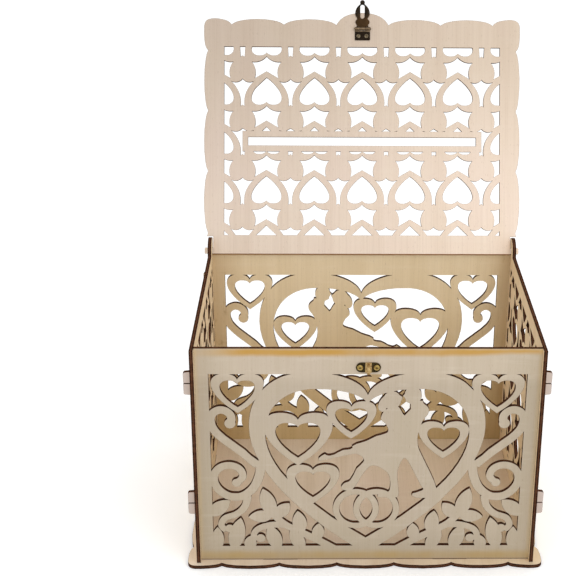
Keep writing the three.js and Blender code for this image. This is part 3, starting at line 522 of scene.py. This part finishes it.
def back_shade_and_stains(n, uv, colour):
    """Painted shade: the back panel is warmer and darker low down and at its ends. Smoke smudges it at the
    slots.
    """
    split = n.add("SeparateXYZ", {0: uv})
    side = n.math("ABSOLUTE", split.outputs[0])
    # painted shade, darker and warmer low down and towards both ends
    colour = n.tinted(colour, n.band(split.outputs[1], 0.0, 0.205, 1.0, 0.0), rgb(232, 224, 203))
    colour = n.tinted(colour, n.band(side, 0.11, 0.145), rgb(238, 233, 226))
    spots = n.band(n.noise(n.scaled(uv, (70, 46, 1)), 1.0, 3.0, 0.6), 0.56, 0.74)
    smudge = n.math("MULTIPLY", n.math("MULTIPLY", spots, n.band(side, 0.12, 0.14)), 0.6)
    return n.mix(smudge, colour, rgb(150, 108, 58))


# ---------------------------------------------------------------- panels
def never(point):
    return False


def beyond_wall(point):
    """Tenons from the side walls outwards keep their straight facets."""
    return abs(point[0]) > WALL_INSIDE - 0.5 * MM


# One birch veneer in five tones. Each is partly the panel's own colour and partly painted light and shade for
# how that panel is lit: the lid, which faces the light, is painted lighter and the upright front darker.
lid_lit_tones = rgb(246, 228, 209), rgb(239, 219, 199), rgb(242, 221, 206)
front_shaded_tones = rgb(198, 183, 162), rgb(190, 175, 153), rgb(193, 178, 160)
back_tones = rgb(234, 215, 181), rgb(224, 203, 165), rgb(228, 208, 173)
side_tones = rgb(237, 213, 174), rgb(226, 200, 160), rgb(234, 208, 172)
base_tones = rgb(225, 208, 186), rgb(213, 193, 168), rgb(221, 199, 179)
lid_face = veneer("birch_lid", *lid_lit_tones, seed=1, extra=lid_shading)
front_face = veneer("birch_front", *front_shaded_tones, seed=2, extra=front_shade_and_stains)
back_face = veneer("birch_back", *back_tones, seed=3, extra=back_shade_and_stains)
side_face = veneer("birch_side", *side_tones, seed=4)
base_face = veneer("birch_base", *base_tones, seed=5, extra=base_right_tint)


def amber_top(n, coords, colour):
    """The back panel's top edge, where the lid's foot stands on it, is only toasted; its amber also stands
    for painted shade in the joint under the lid's foot.
    """
    height = n.add("SeparateXYZ", {0: coords}).outputs[2]
    toast_and_joint_shade = n.band(height, BACK_TOP - 0.0012, BACK_TOP - 0.0004, 0.0, 0.9)
    return n.mix(toast_and_joint_shade, colour, rgb(176, 128, 78))


# where each sheet's lower face lies
base_foot = Vector((0, 0, 0))
lid_foot = HINGE - INWARD * PLY / 2
front_inside = Vector((0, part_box("front_panel")[1].y, 0))
back_inside = Vector((0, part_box("back_panel")[0].y, 0))
right_inside = Vector((WALL_INSIDE, 0, 0))
left_inside = Vector((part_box("left_side_panel")[1].x, 0, 0))
panels = [
    # piece, CAD node, origin on the lower face, local x, local y, face, face to read, straight spots
    ("base_sheet", "base_plate", base_foot, AXIS_X, AXIS_Y, base_face, 1, never),
    ("front_sheet", "front_panel", front_inside, AXIS_X, AXIS_Z, front_face, -1, beyond_wall),
    ("back_sheet", "back_panel", back_inside, -AXIS_X, AXIS_Z, back_face, 1, beyond_wall),
    ("right_sheet", "right_side_panel", right_inside, AXIS_Y, AXIS_Z, side_face, 1, never),
    ("left_sheet", "left_side_panel", left_inside, -AXIS_Y, AXIS_Z, side_face, 1, never),
    ("lid_sheet", "lid_panel", lid_foot, AXIS_X, ALONG, lid_face, -1, never),
]
for name, node, origin, x, y, face, side, rigid in panels:
    toasted_top_and_joint_shade = amber_top if node == "back_panel" else None
    edge = charred(name + "_edge", x.cross(y), origin, toasted_top_and_joint_shade)
    body = "lid" if node == "lid_panel" else "box"
    piece = sheet(name, node, origin, x, y, face, edge, body, side, rigid)

# ---------------------------------------------------------------- hasp
EDGE_TURN = math.radians(38)  # a sharper edge is rounded off
FLAT_TURN = math.radians(0.5)  # a shallower one is no edge at all
CASTING_WELD = 2e-6


def softened(name, node, body, radius, dull, rubbed):
    """A CAD casting again, with its sharp outer edges rounded off and rubbed brighter than the rest."""
    bm = bmesh.new()
    bm.from_mesh(frame["nodes"][node].data)
    bmesh.ops.remove_doubles(bm, verts=bm.verts, dist=CASTING_WELD)
    bmesh.ops.dissolve_limit(bm, angle_limit=FLAT_TURN, verts=bm.verts, edges=bm.edges)
    shared = [e for e in bm.edges if len(e.link_faces) == 2]
    edges = [e for e in shared if e.calc_face_angle() > EDGE_TURN and e.is_convex]
    bmesh.ops.bevel(
        bm, geom=edges, offset=radius, offset_type="OFFSET", segments=2, profile=0.5,
        affect="EDGES", clamp_overlap=False, material=1,
    )
    bmesh.ops.triangulate(bm, faces=bm.faces)
    # welding turns back-to-back slivers into single faces with a free edge, which are dropped
    bmesh.ops.remove_doubles(bm, verts=bm.verts, dist=WELD)
    fins = {f for e in bm.edges if len(e.link_faces) == 1 for f in e.link_faces}
    bmesh.ops.delete(bm, geom=list(fins), context="FACES")
    for f in bm.faces:
        f.smooth = True
    for e in bm.edges:
        e.smooth = e.calc_face_angle(0) <= EDGE_TURN
    return placed(name, bm, (dull, rubbed), body, node)


pin_low, pin_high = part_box("hasp_pin")
BARREL = (pin_low + pin_high) / 2
BOSS_HALF = 2.75 * MM  # half the width of the staple's boss
HEAD_RISE = 1.87 * MM  # from a screw's middle to the face of its head
SCREW_RADIUS = 0.05 * MM


def rubbed_barrel_and_highlight(n, coords, colour):
    """Brown lacquer on the arm's foot, and the barrel rubbed down to yellow metal; its light streaks are also
    a painted highlight along the barrel, and the dark line under it is partly painted shade.
    """
    height = n.math("SUBTRACT", n.add("SeparateXYZ", {0: coords}).outputs[2], BARREL.z)
    colour = n.mix(n.band(height, 0.007, 0.014, 0.8, 0.0), colour, rgb(66, 46, 24))
    colour = n.mix(n.band(height, -0.0026, -0.0014, 1.0, 0.0), colour, rgb(34, 24, 15))
    streak = n.band(n.noise(n.scaled(coords, (300, 300, 2600)), 1.0, 2.0), 0.42, 0.6, 0.5, 1.0)
    # painted highlight, partly real rubbed metal: light streaks along the barrel
    barrel = n.band(n.math("ABSOLUTE", n.math("ADD", height, 0.0008)), 0.0016, 0.0024, 1.0, 0.0)
    colour = n.mix(n.math("MULTIPLY", barrel, streak), colour, rgb(136, 116, 92))
    # painted shade, partly the real seam: a dark line along the underside of the barrel
    seam_and_shade = n.band(n.math("ABSOLUTE", n.math("ADD", height, 0.0012)), 0.0001, 0.0005, 0.6, 0.0)
    return n.mix(seam_and_shade, colour, rgb(40, 28, 16))


def worn_boss(n, coords, colour):
    """The staple's middle is rubbed to a dull tan, with rusty spots."""
    across = n.math("ABSOLUTE", n.add("SeparateXYZ", {0: coords}).outputs[0])
    rust = n.band(n.noise(coords, 760, 4.0, 0.65), 0.46, 0.66)
    tan = n.mix(rust, rgb(196, 168, 116), rgb(154, 112, 62))
    return n.mix(n.band(across, BOSS_HALF - 0.0003, BOSS_HALF + 0.0002, 0.92, 0.0), colour, tan)


def recess_shade(node, outward):
    """Painted shade: dark brown in the recess of a screw whose head looks along outward."""
    low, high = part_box(node)
    top = (low + high) / 2 + outward * HEAD_RISE

    def add_recess_shade(n, coords, colour):
        away = n.add("VectorMath", {0: coords, 1: tuple(top)}, operation="DISTANCE").outputs["Value"]
        return n.mix(n.band(away, 0.0006, 0.0014, 0.9, 0.0), colour, rgb(74, 52, 26))

    return add_recess_shade


bronze_tones = rgb(24, 19, 15), rgb(50, 39, 27), rgb(96, 78, 52)
bronze_rub_tones = rgb(38, 30, 22), rgb(78, 62, 40), rgb(150, 124, 80)
olive_tones = rgb(34, 27, 14), rgb(70, 57, 30), rgb(140, 118, 66)
olive_rub_tones = rgb(70, 58, 30), rgb(136, 116, 68), rgb(196, 172, 112)
bronze = metal("antique_bronze", *bronze_tones, roughness=0.4, wear=0.35, extra=rubbed_barrel_and_highlight)
bronze_rub = metal("antique_bronze_rubbed", *bronze_rub_tones, roughness=0.34, wear=0.6, extra=rubbed_barrel_and_highlight)
olive = metal("olive_brass", *olive_tones, roughness=0.36, wear=0.4, extra=worn_boss)
olive_rub = metal("olive_brass_rubbed", *olive_rub_tones, roughness=0.3, wear=0.7, extra=worn_boss)
steel_tones = rgb(92, 82, 66), rgb(142, 128, 104), rgb(196, 182, 152)
brass_tones = rgb(150, 126, 66), rgb(198, 172, 104), rgb(236, 216, 158)
castings = [
    # piece, CAD node, body, edge radius, dull metal, rubbed metal
    ("arm_casting", "hasp_arm", "hasp", 0.14 * MM, bronze, bronze_rub),
    ("leaf_casting", "hasp_leaf", "lid", 0.12 * MM, bronze, bronze_rub),
    ("pin_casting", "hasp_pin", "lid", 0.08 * MM, bronze, bronze_rub),
    ("staple_casting", "hasp_staple", "box", 0.14 * MM, olive, olive_rub),
]
screws = [
    ("leaf_screw_a", "leaf_screw_left", "lid", steel_tones, INWARD),
    ("leaf_screw_b", "leaf_screw_right", "lid", steel_tones, INWARD),
    ("staple_screw_a", "staple_screw_left", "box", brass_tones, -AXIS_Y),
    ("staple_screw_b", "staple_screw_right", "box", brass_tones, -AXIS_Y),
]
for name, node, body, tones, outward in screws:
    plated = metal(node + "_metal", *tones, roughness=0.3, wear=0.5, extra=recess_shade(node, outward))
    castings.append((name, node, body, SCREW_RADIUS, plated, plated))
for name, node, body, radius, dull, bright in castings:
    piece = softened(name, node, body, radius, dull, bright)

# ---------------------------------------------------------------- floor, light and camera
FLOOR_SIZE = 16.0
FLOOR_GLOW = 0.12  # seen by the camera only, so it lights nothing
floor_mesh = bpy.data.meshes.new("floor")
half = FLOOR_SIZE / 2
corners = [(-half, -half, 0), (half, -half, 0), (half, half, 0), (-half, half, 0)]
floor_mesh.from_pydata(corners, [], [(0, 1, 2, 3)])
floor = bpy.data.objects.new("floor", floor_mesh)
bpy.context.scene.collection.objects.link(floor)
f = Nodes("floor_paper")
paper = f.finish(rgb(252, 252, 252), 0.9, Specular_IOR_Level=0.1, Emission_Color=(1.0, 1.0, 1.0, 1.0))
shader = f.out.inputs["Surface"].links[0].from_node
glow = f.math("MULTIPLY", f.add("LightPath").outputs["Is Camera Ray"], FLOOR_GLOW)
f.tree.links.new(glow, shader.inputs["Emission Strength"])
floor_mesh.materials.append(paper)

world = bpy.data.worlds.new("studio")
bpy.context.scene.world = world
world.use_nodes = True
world.node_tree.nodes["Background"].inputs[0].default_value = (1.0, 1.0, 1.0, 1.0)
world.node_tree.nodes["Background"].inputs[1].default_value = 1.0


def lamp(name, place, aim, size, power):
    data = bpy.data.lights.new(name, "AREA")
    data.shape = "DISK"
    data.size = size
    data.energy = power
    obj = bpy.data.objects.new(name, data)
    obj.location = place
    obj.rotation_mode = "QUATERNION"
    obj.rotation_quaternion = (Vector(aim) - Vector(place)).to_track_quat("-Z", "Y")
    bpy.context.scene.collection.objects.link(obj)


CENTRE = (0, 0, 0.15)
lamp("key", place=(0.9, -1.2, 1.7), aim=CENTRE, size=1.2, power=8)

# The camera stands a little left of the middle and looks down at the box; its picture is shifted.
CAM_PLACE = Vector((-39.86, -1129.1, 714.76)) * MM
PITCH, YAW, ROLL = math.radians(22.802), math.radians(1.447), math.radians(0.677)
SENSOR, LENS = 36, 84.562
SHIFT_X, SHIFT_Y = -0.11266, -0.03181
forward = Vector((math.sin(YAW) * math.cos(PITCH), math.cos(YAW) * math.cos(PITCH), -math.sin(PITCH)))
level = Vector((math.cos(YAW), -math.sin(YAW), 0))
upward = level.cross(forward)
right = math.cos(ROLL) * level + math.sin(ROLL) * upward
up = -math.sin(ROLL) * level + math.cos(ROLL) * upward
data = bpy.data.cameras.new("camera")
data.sensor_width = SENSOR
data.lens = LENS
data.shift_x = SHIFT_X
data.shift_y = SHIFT_Y
camera = bpy.data.objects.new("camera", data)
turn = Matrix((right, up, -forward)).transposed().to_4x4()
camera.matrix_world = Matrix.Translation(CAM_PLACE) @ turn
bpy.context.scene.collection.objects.link(camera)
bpy.context.scene.camera = camera
